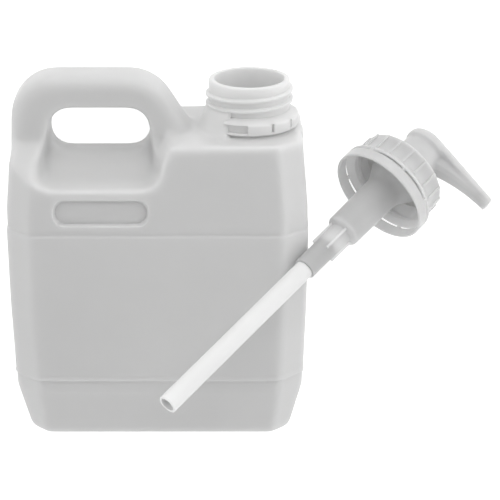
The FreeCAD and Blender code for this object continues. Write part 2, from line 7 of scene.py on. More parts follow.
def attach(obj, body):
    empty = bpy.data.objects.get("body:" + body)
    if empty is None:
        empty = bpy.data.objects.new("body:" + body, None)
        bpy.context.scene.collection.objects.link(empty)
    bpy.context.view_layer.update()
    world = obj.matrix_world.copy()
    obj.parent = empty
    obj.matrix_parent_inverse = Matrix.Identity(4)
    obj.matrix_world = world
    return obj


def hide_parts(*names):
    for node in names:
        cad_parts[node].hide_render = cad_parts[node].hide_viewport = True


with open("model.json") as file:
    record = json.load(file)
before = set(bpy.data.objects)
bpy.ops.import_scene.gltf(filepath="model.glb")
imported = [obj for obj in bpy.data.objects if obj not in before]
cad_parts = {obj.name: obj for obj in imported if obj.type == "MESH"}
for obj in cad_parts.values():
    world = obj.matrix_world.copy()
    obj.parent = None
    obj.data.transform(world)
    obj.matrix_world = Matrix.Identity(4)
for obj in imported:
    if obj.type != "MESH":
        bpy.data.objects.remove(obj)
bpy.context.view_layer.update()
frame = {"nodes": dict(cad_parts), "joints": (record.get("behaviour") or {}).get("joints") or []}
mm = 0.001
panelMiddle = 60.0      # the jug's heights are counted from its base, and the frame's origin is this far up
partingZ = 32.0         # mould line between the jug's front and back halves


# small helpers

def leaveAlone():
    if bpy.context.object and bpy.context.object.mode != "OBJECT":
        bpy.ops.object.mode_set(mode="OBJECT")
    bpy.ops.object.select_all(action="DESELECT")


def pickUp(obj):
    leaveAlone()
    obj.select_set(True)
    bpy.context.view_layer.objects.active = obj


def editAll(obj):
    pickUp(obj)
    bpy.ops.object.mode_set(mode="EDIT")
    bpy.ops.mesh.select_all(action="SELECT")


def applyMod(obj, kind, **settings):
    pickUp(obj)
    mod = obj.modifiers.new(kind.lower(), kind)
    for key, value in settings.items():
        setattr(mod, key, value)
    bpy.ops.object.modifier_apply(modifier=mod.name)


def joinBy(obj, tool, how):
    applyMod(obj, "BOOLEAN", operation=how, object=tool, solver="MANIFOLD")
    bpy.data.objects.remove(tool)


def clearPick(obj):
    editAll(obj)
    bpy.ops.mesh.select_all(action="DESELECT")
    bpy.ops.object.mode_set(mode="OBJECT")


def facesOut(obj):
    editAll(obj)
    bpy.ops.mesh.remove_doubles(threshold=1e-6)
    bpy.ops.mesh.normals_make_consistent(inside=False)
    leaveAlone()


def jugSpot(x, height, z):
    return Vector((x, height - panelMiddle, z)) * mm


def boxSpots(box, z):
    left, right, low, high = box
    corners = [(left, low), (right, low), (right, high), (left, high)]
    return [jugSpot(x, height, z) for x, height in corners]


def clamp(value):
    return min(1, max(0, value))


def flatLoop(name, spots, fill="NGON"):
    # outline from a circle primitive, its points moved to the given spots
    leaveAlone()
    bpy.ops.mesh.primitive_circle_add(vertices=len(spots), radius=mm, fill_type=fill)
    obj = bpy.context.object
    obj.name = name
    for vert, spot in zip(obj.data.vertices, spots):
        vert.co = spot
    return obj


def outlineBlock(name, spots, push, rounds=(), segments=8):
    # flat outline, some of its corners rounded, then pulled into a block
    obj = flatLoop(name, spots)
    for index, reach in rounds:
        clearPick(obj)
        for vert in obj.data.vertices:
            vert.select = (vert.co - spots[index]).length < 1e-6
        bpy.ops.object.mode_set(mode="EDIT")
        bpy.ops.mesh.select_mode(type="VERT")
        bpy.ops.mesh.bevel(offset=reach * mm, segments=segments, affect="VERTICES")
    editAll(obj)
    bpy.ops.mesh.extrude_region_move(TRANSFORM_OT_translate={"value": push * mm})
    facesOut(obj)
    return obj


def turnedRing(name, profile, steps=96, start=0.0, sweep=360.0):
    # closed profile of radius and height pairs, spun round the Z axis from a start angle
    turn = math.radians(start)
    spots = [Vector((radius * math.cos(turn), radius * math.sin(turn), height)) * mm for radius, height in profile]
    obj = flatLoop(name, spots, "NOTHING" if sweep == 360.0 else "NGON")
    editAll(obj)
    bpy.ops.mesh.spin(steps=steps, angle=-math.radians(sweep), center=(0, 0, 0), axis=(0, 0, 1))
    facesOut(obj)
    return obj


def threadRidge(name, root, crest, low, pitch, turns, foot, steps=64):
    # ridge profile carried up a helix, thinned to almost nothing over an eighth of a turn at both ends
    endRate, endShare = 8, 0.05
    profile = [(root, -foot / 2), (crest, -foot / 5), (crest, foot / 5), (root, foot / 2)]
    spots = [Vector((radius, 0, low + height)) * mm for radius, height in profile]
    obj = flatLoop(name, spots, "NOTHING")
    count = int(steps * turns)
    applyMod(obj, "SCREW", axis="Z", angle=2 * math.pi * turns, screw_offset=pitch * turns * mm,
             steps=count, render_steps=count, iterations=1, use_merge_vertices=False)
    for vert in obj.data.vertices:
        share = (vert.index // len(profile)) / count * turns
        full = min(1, endRate * share, endRate * (turns - share))
        flat = Vector((vert.co.x, vert.co.y, 0))
        reach = root + (flat.length / mm - root) * (endShare + (1 - endShare) * full)
        flat = flat.normalized() * reach * mm
        vert.co.x, vert.co.y = flat.x, flat.y
    editAll(obj)
    bpy.ops.mesh.fill_holes(sides=0)
    facesOut(obj)
    return obj


def boxBlock(name, low, high, edge=0.0):
    # box between two corners, its edges rounded over where an edge is given
    leaveAlone()
    low, high = Vector(low), Vector(high)
    bpy.ops.mesh.primitive_cube_add(size=mm)
    obj = bpy.context.object
    obj.name = name
    for vert in obj.data.vertices:
        vert.co = Vector([(low[i] if vert.co[i] < 0 else high[i]) * mm for i in range(3)])
    if edge:
        applyMod(obj, "BEVEL", width=edge * mm, segments=2, limit_method="ANGLE",
                 angle_limit=math.radians(40))
    return obj


def ringOf(obj, count, first=0.0):
    # copies of one piece round the Z axis, joined into one mesh
    copies = []
    for index in range(count):
        copy = bpy.data.objects.new(obj.name + str(index), obj.data.copy())
        bpy.context.scene.collection.objects.link(copy)
        place(copy, Matrix.Rotation(math.radians(first) + 2 * math.pi * index / count, 4, "Z"))
        copies.append(copy)
    bpy.data.objects.remove(obj)
    pickUp(copies[0])
    for copy in copies[1:]:
        copy.select_set(True)
    bpy.ops.object.join()
    leaveAlone()
    return copies[0]


def place(obj, matrix):
    obj.data.transform(matrix)
    obj.data.update()
    return obj


def smoothShade(obj, angle):
    pickUp(obj)
    bpy.ops.object.shade_smooth_by_angle(angle=math.radians(angle))
    leaveAlone()


# jug

jug = {
    # height, half width, half depth, edge cut; the first five turn the rounded base
    "levels": [(0.0, 52.2, 22.44, 4.9), (0.27, 53.83, 24.07, 5.8), (1.01, 55.21, 25.45, 6.5),
               (2.2, 56.35, 26.59, 7.1), (3.67, 57.02, 27.26, 7.5), (21.8, 62.0, 31.0, 10.0),
               (62.0, 63.3, 31.5, 10.0), (103.0, 63.8, 31.5, 10.0), (120.0, 62.5, 31.3, 10.0),
               (133.5, 61.0, 30.8, 10.0)],
    "edgeRound": 1.8,
    "saddleX": 17.5, "shoulder": 133.5,
    "handleTop": 157.7, "handleSlopeX": -1.0, "handleLeftX": -61.3, "handleFootX": -62.8, "handleSink": 5.0,
    "handleLeftReach": 18.0, "handleRightReach": 10.0, "handleHalfDepth": 11.0, "handleRound": 5.5,
    "carveLow": 117.0, "carveRight": 2.5, "carveLean": 0.17, "carveTilt": 0.5,
    "grip": (-45.7, -3.2, 124.2, 143.8), "gripRound": 9.0, "gripFrom": -20.0, "gripThrough": 104.0,
    "scoop": (-52.5, 2.8, 114.5), "scoopRound": 9.0, "scoopLip": 5.0, "scoopBelly": 4.0, "scoopSteps": 8,
    "scoopWaist": (124.0, 134.5), "scoopTuck": 8.0, "scoopDraw": 0.8,
    # how far the cutting blocks reach past the form
    "cutLeft": -120.0, "cutFace": 64.0, "cutFar": 96.0, "cutClear": 1.0,
    "slot": (-42.3, -4.0, 99.7, 109.3), "slotFace": 63.5, "slotDepth": 1.3, "slotDraft": 1.2,
    "slotReach": 4.0, "slotRound": 0.95,
    # extra smoothing fades in above one height and left of one place
    "softFrom": 104.0, "softLeft": 24.0, "softFade": 8.0, "softAll": 4, "softHandle": 30,
    "voxel": 1.0, "wall": 1.2, "shadeAngle": 40,
    "neckFillEnd": (75.0, 110.0), "neckFillDepth": (-10.0, 74.0),
    # height, proud
    "bandProfile": [(27.6, 0.0), (28.2, 0.55), (28.7, 0.55), (29.4, 0.3), (93.7, 0.5), (94.7, 0.0)],
}


def jugBody():
    quarters = [(1, -1), (1, 1), (-1, 1), (-1, -1)]
    height, width, depth, cut = jug["levels"][0]
    spots = []
    for side, face in quarters:
        along = jugSpot(side * (width - cut), height, partingZ + face * depth)
        across = jugSpot(side * width, height, partingZ + face * (depth - cut))
        spots += [along, across] if side * face < 0 else [across, along]
    body = flatLoop("jugForm", spots)
    editAll(body)
    for lower, upper in zip(jug["levels"], jug["levels"][1:]):
        climb = (0, (upper[0] - lower[0]) * mm, 0)
        bpy.ops.mesh.extrude_region_move(TRANSFORM_OT_translate={"value": climb})
        bpy.ops.transform.resize(value=(upper[1] / lower[1], 1, upper[2] / lower[2]),
                                 center_override=jugSpot(0, upper[0], partingZ))
    leaveAlone()
    for vert in body.data.vertices:
        nearest = min(jug["levels"], key=lambda level: abs(jugSpot(0, level[0], 0).y - vert.co.y))
        width, depth, cut = nearest[1:]
        across = vert.co.x / mm / width
        deep = (vert.co.z / mm - partingZ) / depth
        wide = abs(across) > abs(deep)      # this corner of the cut edge lies on the side, not on the face
        vert.co.x = math.copysign(width if wide else width - cut, across) * mm
        vert.co.z = (partingZ + math.copysign(depth - cut if wide else depth, deep)) * mm
    facesOut(body)
    applyMod(body, "BEVEL", width=jug["edgeRound"] * mm, segments=5, limit_method="ANGLE",
             angle_limit=math.radians(25))
    return body


def jugHandle():
    low = jug["carveLow"]
    half = jug["handleHalfDepth"]
    corners = [(jug["handleFootX"], low), (jug["saddleX"], low),
               (jug["saddleX"], jug["shoulder"] - jug["handleSink"]),
               (jug["handleSlopeX"], jug["handleTop"]), (jug["handleLeftX"], jug["handleTop"])]
    spots = [jugSpot(x, height, partingZ - half) for x, height in corners]
    handle = outlineBlock("jugHandle", spots, Vector((0, 0, 2 * half)),
                          [(3, jug["handleRightReach"]), (4, jug["handleLeftReach"])], 10)
    applyMod(handle, "BEVEL", width=jug["handleRound"] * mm, segments=5, limit_method="ANGLE",
             angle_limit=math.radians(35))
    return handle


def flipSide(z, back):
    return 2 * partingZ - z if back else z


def postCarve(back):
    deep = partingZ + jug["handleHalfDepth"] - jug["handleRound"]
    low, top, far = jug["carveLow"], 2 * jug["shoulder"], jug["cutFar"]
    side = [(low, jug["cutFace"]), (jug["shoulder"], deep), (top, deep), (top, far), (low, far)]
    spots = [jugSpot(jug["cutLeft"], height, flipSide(z, back)) for height, z in side]
    block = outlineBlock("postCarve", spots, Vector((jug["carveRight"] - jug["cutLeft"], 0, 0)))
    for vert in block.data.vertices:
        if vert.co.x > 0:       # the wall beside the right post leans out to the face and down to the scoop's rim
            rise = flipSide(vert.co.z / mm, back) - deep
            above = vert.co.y / mm + panelMiddle - jug["shoulder"]
            vert.co.x += (jug["carveLean"] * rise + jug["carveTilt"] * above) * mm
    return block


def scoopCarve(back):
    left, right, low = jug["scoop"]
    gripLow, gripHigh = jug["grip"][2:]
    lip, far, steps = partingZ + jug["scoopLip"], jug["cutFar"], jug["scoopSteps"]
    start, end = Vector((gripLow, lip)), Vector((low, jug["cutFace"]))
    chord = end - start
    bulge = Vector((-chord.y, chord.x)).normalized() * jug["scoopBelly"]      # to this side the ramp is hollow
    side = []
    for step in range(steps + 1):
        share = step / steps
        spot = start + chord * share + bulge * 4 * share * (1 - share)
        side.append((spot.x, spot.y))
    side += [(low, far), (gripHigh, far), (gripHigh, lip)]
    spots = [jugSpot(left, height, flipSide(z, back)) for height, z in side]
    ramp = outlineBlock("scoopRamp", spots, Vector((right - left, 0, 0)))
    joinBy(ramp, scoopWindow(back, lip - jug["cutClear"]), "INTERSECT")
    return ramp


def scoopWindow(back, floor):
    # as wide as the scoop at its foot, drawn in to the grip hole's own ends both above and in depth
    left, right, low = jug["scoop"]
    gripLeft, gripRight, _, gripHigh = jug["grip"]
    waist, shoulder = jug["scoopWaist"]
    tuck, face = jug["scoopTuck"], jug["cutFace"]
    corners = [(left, low), (right, low), (right, waist), (gripRight, shoulder), (gripRight - tuck, gripHigh),
               (gripLeft + tuck, gripHigh), (gripLeft, shoulder), (left, waist)]
    spots = [jugSpot(x, height, flipSide(floor, back)) for x, height in corners]
    reach = jug["scoopRound"]
    rounds = [(0, reach), (1, reach), (2, reach / 2), (3, reach / 3), (6, reach / 3), (7, reach / 2)]
    push = flipSide(jug["cutFar"] + jug["cutClear"], back) - flipSide(floor, back)
    window = outlineBlock("scoopWindow", spots, Vector((0, 0, push)), rounds)
    middle = (left + right) / 2 * mm
    for vert in window.data.vertices:
        sunk = (face - flipSide(vert.co.z / mm, back)) / (face - floor)
        under = clamp((shoulder - vert.co.y / mm - panelMiddle) / (shoulder - waist))
        vert.co.x = middle + (vert.co.x - middle) * (1 - (1 - jug["scoopDraw"]) * sunk * under)
    return window


def gripBlock():
    spots = boxSpots(jug["grip"], jug["gripFrom"])
    rounds = [(index, jug["gripRound"]) for index in range(4)]
    return outlineBlock("gripHole", spots, Vector((0, 0, jug["gripThrough"])), rounds)


def softenJug(form):
    applyMod(form, "REMESH", mode="VOXEL", voxel_size=jug["voxel"] * mm)
    group = form.vertex_groups.new(name="handleSoft")
    for vert in form.data.vertices:
        height = vert.co.y / mm + panelMiddle
        x = vert.co.x / mm
        up = clamp((height - jug["softFrom"]) / jug["softFade"])
        left = clamp((jug["softLeft"] - x) / jug["softFade"])
        group.add([vert.index], up * left, "REPLACE")
    applyMod(form, "SMOOTH", factor=0.5, iterations=jug["softAll"])
    applyMod(form, "SMOOTH", factor=0.5, iterations=jug["softHandle"], vertex_group="handleSoft")
    form.vertex_groups.clear()


def bandSteps(form):
    # cuts clean rows of edges at both lines of the plain band, then lifts what lies between them
    profile = jug["bandProfile"]
    for height, _ in profile:
        clearPick(form)
        level = jugSpot(0, height, 0).y
        near = [abs(vert.co.y - level) < 2 * jug["voxel"] * mm for vert in form.data.vertices]
        for face in form.data.polygons:
            face.select = all(near[index] for index in face.vertices)
        bpy.ops.object.mode_set(mode="EDIT")
        bpy.ops.mesh.bisect(plane_co=jugSpot(0, height, 0), plane_no=(0, 1, 0))
    leaveAlone()
    facing = [vert.normal.copy() for vert in form.data.vertices]     # read before anything moves
    for vert, normal in zip(form.data.vertices, facing):
        height = vert.co.y / mm + panelMiddle
        for (low, lowProud), (high, highProud) in zip(profile, profile[1:]):
            if low < height <= high:
                proud = lowProud + (highProud - lowProud) * (height - low) / (high - low)
                vert.co += Vector((normal.x, 0, normal.z)).normalized() * proud * mm
    form.data.update()


def labelSlot(form):
    left, right, low, high = jug["slot"]
    tall = jug["slotReach"]
    floor = jug["slotFace"] - jug["slotDepth"]
    reach = (high - low) / 2 * jug["slotRound"]
    rounds = [(index, reach) for index in range(4)]
    cutter = outlineBlock("slotCutter", boxSpots(jug["slot"], floor), Vector((0, 0, tall)), rounds, 10)
    middle = Vector(((left + right) / 2, (low + high) / 2))
    spread = tall / jug["slotDepth"] * jug["slotDraft"]
    for vert in cutter.data.vertices:
        if vert.co.z > (floor + tall / 2) * mm:
            x = vert.co.x / mm - middle.x
            y = vert.co.y / mm + panelMiddle - middle.y
            vert.co.x += math.copysign(spread, x) * mm * min(1, abs(x) / ((right - left) / 2 - reach))
            vert.co.y += math.copysign(spread, y) * mm * min(1, abs(y) / ((high - low) / 2))
    joinBy(form, cutter, "DIFFERENCE")


neck = {
    "x": 39.0, "rim": 154.5, "wall": 17.2, "rimRound": [(0.8, 0.0), (0.3, -0.15), (0.0, -0.6)], "foot": -26.0,
    "bore": 14.75, "boreRim": [(0.5, 2.0), (0.5, 0.0), (0.15, -0.15), (0.0, -0.5)], "boreFoot": -25.5,
    "steps": 128,
    "threadCrest": 18.6, "threadPitch": 4.23, "threadTurns": 2.25, "threadDrop": 3.4, "threadFoot": 2.3,
    "threadSink": 0.3,
    "lugs": [(15.5, -12.9), (17.2, -12.9), (20.4, -14.6), (21.0, -15.1), (21.1, -15.6), (21.1, -18.9),
             (20.9, -19.4), (20.3, -19.7), (19.5, -19.9), (19.3, -20.5), (21.2, -21.0), (22.6, -21.7),
             (23.0, -22.4), (23.0, -26.0), (15.5, -26.0)],
    "lugSweep": (-122.0, 244.0),
    "window": (72.0, 33.0), "slots": (118.5, 147.0), "slotSpread": 3.6,
    "recess": (19.5, 30.0), "recessLow": -18.6, "recessHigh": -15.0,
    "flare": [(0.0, -24.0), (26.0, -24.0), (23.2, -21.2), (21.2, -19.0), (19.9, -16.0), (19.0, -13.0),
              (18.2, -10.4), (0.0, -10.4)],
    "flareSweep": (116.0, 128.0),
}


def standOnNeck(obj):
    spot = jugSpot(neck["x"], neck["rim"], partingZ)
    return place(obj, Matrix.Translation(spot) @ Matrix.Rotation(-math.pi / 2, 4, "X"))


def makeNeck():
    wall, foot = neck["wall"], neck["foot"]
    rim = [(wall - inset, height) for inset, height in neck["rimRound"]]
    core = turnedRing("neckCore", [(0, 0)] + rim + [(wall, foot), (0, foot)], neck["steps"])
    start, sweep = neck["lugSweep"]
    joinBy(core, turnedRing("neckLugs", neck["lugs"], 110, start, sweep), "UNION")
    low, high = neck["recessLow"], neck["recessHigh"]
    inner, outer = neck["recess"]
    gaps = [neck["window"]] + [(turn, neck["slotSpread"]) for turn in neck["slots"]]
    for turn, spread in gaps:
        for side in (0.0, 180.0):
            edge = [(inner, low), (outer, low), (outer, high), (inner, high)]
            gap = turnedRing("neckGap", edge, 12, side + turn - spread / 2, spread)
            joinBy(core, gap, "DIFFERENCE")
    turns, pitch = neck["threadTurns"], neck["threadPitch"]
    bottom = -neck["threadDrop"] - turns * pitch
    ridge = threadRidge("neckThread", wall - neck["threadSink"], neck["threadCrest"], bottom, pitch, turns,
                        neck["threadFoot"])
    joinBy(core, ridge, "UNION")
    return standOnNeck(core)


def hollowCopy(form):
    # the room for the oil: the form drawn in by the wall's thickness, flat under the neck, turned inside out
    room = bpy.data.objects.new("jugRoom", form.data.copy())
    bpy.context.scene.collection.objects.link(room)
    applyMod(room, "DISPLACE", strength=-jug["wall"] * mm, mid_level=0.0, direction="NORMAL")
    applyMod(room, "REMESH", mode="VOXEL", voxel_size=2 * jug["voxel"] * mm)
    roof = jug["shoulder"] - panelMiddle - jug["wall"]
    right, top = jug["neckFillEnd"]
    back, front = jug["neckFillDepth"]
    joinBy(room, boxBlock("neckFill", (jug["saddleX"], roof, back), (right, top, front)), "DIFFERENCE")
    editAll(room)
    bpy.ops.mesh.flip_normals()
    leaveAlone()
    return room


def makeJug():
    form = jugBody()
    for back in (False, True):
        joinBy(form, postCarve(back), "DIFFERENCE")
    joinBy(form, jugHandle(), "UNION")
    for back in (False, True):
        joinBy(form, scoopCarve(back), "DIFFERENCE")
    joinBy(form, gripBlock(), "DIFFERENCE")
    start, sweep = neck["flareSweep"]
    joinBy(form, standOnNeck(turnedRing("neckFlare", neck["flare"], 40, start, sweep)), "UNION")
    softenJug(form)
    print("jug form softened:", len(form.data.polygons), "faces")
    bandSteps(form)
    print("band lines cut")
    labelSlot(form)
    print("label slot sunk")
    room = hollowCopy(form)
    joinBy(form, makeNeck(), "UNION")
    print("neck joined")
    pickUp(form)
    room.select_set(True)
    bpy.ops.object.join()
    bore, foot = neck["bore"], neck["boreFoot"]
    rim = [(bore + outset, height) for outset, height in neck["boreRim"]]
    cutter = turnedRing("neckBore", [(0, rim[0][1])] + rim + [(bore, foot), (0, foot)], neck["steps"])
    joinBy(form, standOnNeck(cutter), "DIFFERENCE")
    print("jug:", len(form.data.polygons), "faces")
    return form


jugShell = makeJug()
jugShell.name = "jugShell"
smoothShade(jugShell, jug["shadeAngle"])
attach(jugShell, "bottle")
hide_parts("bottle_shell")
finished = [(jugShell, "jugSkin")]


# loose pump, built along its own Z axis with the closure's rim at zero

def pumpFrame(spin=0.0):
    swivel = next(joint for joint in frame["joints"] if joint["name"] == "head_swivel")
    along = Vector(swivel["axis"]).normalized()
    level = along.cross(Vector((0, 0, 1))).normalized()
    axes = Matrix((level, along.cross(level), along)).transposed().to_4x4()
    return Matrix.Translation(Vector(swivel["pos_m"])) @ axes @ Matrix.Rotation(math.radians(spin), 4, "Z")


closure = {
    "skirt": [(7.4, 17.1), (18.9, 17.1), (18.9, 7.8), (21.6, 6.0), (22.5, 6.0), (22.7, 6.2), (22.7, 6.6),
              (22.5, 6.9), (21.3, 7.8), (20.5, 8.5), (20.2, 9.2), (20.2, 17.3), (20.05, 17.8), (19.7, 18.2),
              (19.1, 18.45), (18.5, 18.5), (7.7, 18.5), (7.4, 18.2)],
    "band": [(21.6, 0.2), (21.8, 0.0), (22.4, 0.0), (22.7, 0.3), (22.7, 4.6), (22.5, 4.8), (21.6, 4.8)],
    "ribs": 18, "ribSize": (1.1, 0.6), "ribSpan": (8.9, 17.7), "ribRoot": 19.4, "ribFace": 20.2, "ribEdge": 0.18,
    "bridges": 8, "bridgeWidth": 1.6, "bridgeReach": (21.7, 22.6), "bridgeSpan": (4.5, 6.3), "bridgeEdge": 0.12,
    "bridgeTurn": 22.5,
    # root, crest, low end, pitch, turns, foot
    "thread": (19.1, 17.5, 9.1, 4.23, 1.0, 1.7),
    "steps": 144,
}


def makeClosure():
    cap = turnedRing("closureShell", closure["skirt"], closure["steps"])
    band = turnedRing("closureBand", closure["band"], closure["steps"])
    wide, proud = closure["ribSize"]
    low, high = closure["ribSpan"]
    crest = closure["ribFace"] + proud
    rib = boxBlock("closureRib", (closure["ribRoot"], -wide / 2, low), (crest, wide / 2, high), closure["ribEdge"])
    joinBy(cap, ringOf(rib, closure["ribs"]), "UNION")
    across = closure["bridgeWidth"] / 2
    inner, outer = closure["bridgeReach"]
    low, high = closure["bridgeSpan"]
    bridge = boxBlock("bandBridge", (inner, -across, low), (outer, across, high), closure["bridgeEdge"])
    joinBy(band, ringOf(bridge, closure["bridges"], closure["bridgeTurn"]), "UNION")
    joinBy(cap, band, "UNION")
    joinBy(cap, threadRidge("closureThread", *closure["thread"]), "UNION")
    return place(cap, pumpFrame())


housing = {
    "outer": [(4.75, -50.5), (5.0, -50.2), (5.0, -26.6), (5.3, -26.1), (6.6, -25.4), (7.3, -24.9), (7.65, -24.3),
              (7.72, -23.6), (8.0, 1.4), (8.08, 2.6), (8.4, 4.0), (9.0, 5.5), (9.9, 7.2), (11.0, 9.2),
              (12.1, 11.3), (13.0, 13.2), (13.45, 14.6), (13.6, 15.6), (16.8, 15.6), (17.0, 15.8), (17.0, 16.8)],
    "inner": [(7.02, 16.8), (7.02, 7.9), (6.7, 7.9), (6.7, -23.4), (2.48, -23.4), (2.48, -24.4), (3.2, -24.4),
              (3.2, -29.0), (1.98, -29.0), (1.98, -35.48), (4.12, -35.48), (4.12, -50.5)],
    "fins": 4, "finSpan": (-38.4, -25.6), "finRoot": 4.5, "finReach": 6.15, "finWidth": 1.2, "finEdge": 0.22,
    "finTurn": -20.0,
}


def makeHousing():
    body = turnedRing("housingShell", housing["outer"] + housing["inner"], 96)
    half = housing["finWidth"] / 2
    low, high = housing["finSpan"]
    fin = boxBlock("housingFin", (housing["finRoot"], -half, low), (housing["finReach"], half, high),
                   housing["finEdge"])
    joinBy(body, ringOf(fin, housing["fins"], housing["finTurn"]), "UNION")
    return place(body, pumpFrame())


dipTube = {"wall": [(3.0, -138.3), (3.2, -138.5), (3.9, -138.5), (4.1, -138.3), (4.1, -35.7), (3.9, -35.5),
                    (3.0, -35.5)]}


def makeDipTube():
    tube = turnedRing("dipTubeShell", dipTube["wall"], 64)
    return place(tube, pumpFrame())


pumpHead = {
    "dome": [(0.0, 18.8), (9.75, 18.8), (9.95, 19.05), (9.75, 24.0), (9.45, 29.0), (9.3, 31.4), (9.5, 32.3),
             (10.2, 32.9), (10.4, 33.5), (10.4, 35.1), (10.1, 36.2), (9.3, 37.0), (7.8, 37.4), (5.0, 37.55),
             (0.0, 37.55)],
    "socket": [(0.0, 17.0), (9.1, 17.0), (9.1, 20.5), (4.62, 20.5), (4.62, 27.0), (0.0, 27.0)],
    "spoutReach": 36.8, "spoutSteps": 14, "rootHalf": 10.35, "tipHalf": 3.4, "sweep": 1.35,
    "rootThick": 13.5, "tipThick": 4.8, "arch": 2.0, "top": 37.5,
    "plate": 4.2, "tipPlate": 0.45, "plateDraft": 0.1,
    "webShare": 0.62, "tipWebShare": 0.8, "webFillet": (0.2, 0.6),
    # in from the rim and down from the top, at the root; then shares of the web's half width and of the thickness
    "rim": [(2.6, 0.0), (1.1, 0.4), (0.3, 1.2), (0.0, 2.2)], "webRound": [(0.9, 0.8), (0.55, 1.0)],
    "spin": -28.0, "voxel": 0.42, "softPasses": 5, "outlet": (1.5, 9.0), "outletTilt": 100.0,
}


def spoutEdge(share):
    # section of the spout: a thin plate on top and a rounded web under it
    back = 1 - share
    half = pumpHead["tipHalf"] + (pumpHead["rootHalf"] - pumpHead["tipHalf"]) * back ** pumpHead["sweep"]
    tip, root = pumpHead["tipThick"], pumpHead["rootThick"]
    thick = tip + (root - tip) * back ** 2
    top = pumpHead["top"] - pumpHead["arch"] * share ** 2
    tipPlate = pumpHead["tipPlate"] * tip
    under = top - (tipPlate + (pumpHead["plate"] - tipPlate) * back)
    web = half * (pumpHead["webShare"] + (pumpHead["tipWebShare"] - pumpHead["webShare"]) * share)
    turn = half / pumpHead["rootHalf"]      # the round of the plate's rim, as on the dome at the root
    wide, drop = pumpHead["webFillet"]
    right = [(half - inset * turn, top - down * turn) for inset, down in pumpHead["rim"]]
    right += [(half - pumpHead["plateDraft"], under), (web + wide, under - drop)]
    right += [(web * across, top - deep * thick) for across, deep in pumpHead["webRound"]]
    return right + [(-y, z) for y, z in reversed(right)]


def makeSpout():
    section = spoutEdge(0)
    spout = flatLoop("headSpout", [Vector((0, y, z)) * mm for y, z in section])
    steps, reach = pumpHead["spoutSteps"], pumpHead["spoutReach"]
    for step in range(steps):
        clearPick(spout)
        behind = (step - 0.5) / steps * reach * mm
        for face in spout.data.polygons:
            face.select = len(face.vertices) == len(section) and face.center.x > behind
        bpy.ops.object.mode_set(mode="EDIT")
        bpy.ops.mesh.select_mode(type="FACE")
        bpy.ops.mesh.extrude_region_move(TRANSFORM_OT_translate={"value": (reach / steps * mm, 0, 0)})
        bpy.ops.object.mode_set(mode="OBJECT")
        front = [vert for vert in spout.data.vertices if vert.co.x > (step + 0.5) / steps * reach * mm]
        last = spoutEdge(step / steps)
        shape = spoutEdge((step + 1) / steps)
        for vert in front:
            flat = Vector((vert.co.y, vert.co.z)) / mm
            index = min(range(len(last)), key=lambda i: (Vector(last[i]) - flat).length)
            vert.co.y, vert.co.z = shape[index][0] * mm, shape[index][1] * mm
    facesOut(spout)
    return spout


def makeHead():
    head = turnedRing("headShell", pumpHead["dome"], 96)
    joinBy(head, makeSpout(), "UNION")
    applyMod(head, "REMESH", mode="VOXEL", voxel_size=pumpHead["voxel"] * mm)
    applyMod(head, "SMOOTH", factor=0.5, iterations=pumpHead["softPasses"])
    joinBy(head, turnedRing("headSocket", pumpHead["socket"], 96), "DIFFERENCE")
    radius, deep = pumpHead["outlet"]
    way = turnedRing("spoutWay", [(0, -deep), (radius, -deep), (radius, deep), (0, deep)], 32)
    tip = Vector((pumpHead["spoutReach"], 0, pumpHead["top"] - pumpHead["arch"] - 0.5 * pumpHead["tipThick"]))
    place(way, Matrix.Translation(tip * mm) @ Matrix.Rotation(math.radians(pumpHead["outletTilt"]), 4, "Y"))
    joinBy(head, way, "DIFFERENCE")
    return place(head, pumpFrame(pumpHead["spin"]))


pumpPieces = [(makeClosure, "closure", "pump_plastic", "closure_cap", "shadedPumpSkin"),
              (makeHousing, "housing", "housing_plastic", "pump_housing", "brightenedHousingSkin"),
              (makeDipTube, "housing", "tube_plastic", "dip_tube", "tubeSkin"),
              (makeHead, "head", "pump_plastic", "actuator_head", "shadedPumpSkin")]
pumpShadeAngle = 35
for make, body, finish, node, skin in pumpPieces:
    piece = make()
    finished.append((piece, skin))
    smoothShade(piece, pumpShadeAngle)
    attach(piece, body)
    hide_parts(node)
    print(piece.name, len(piece.data.polygons), "faces")


# finishes: one moulded skin shared by every plastic, and steel for the spring and balls

def wire(tree, source, target):
    tree.links.new(source, target)


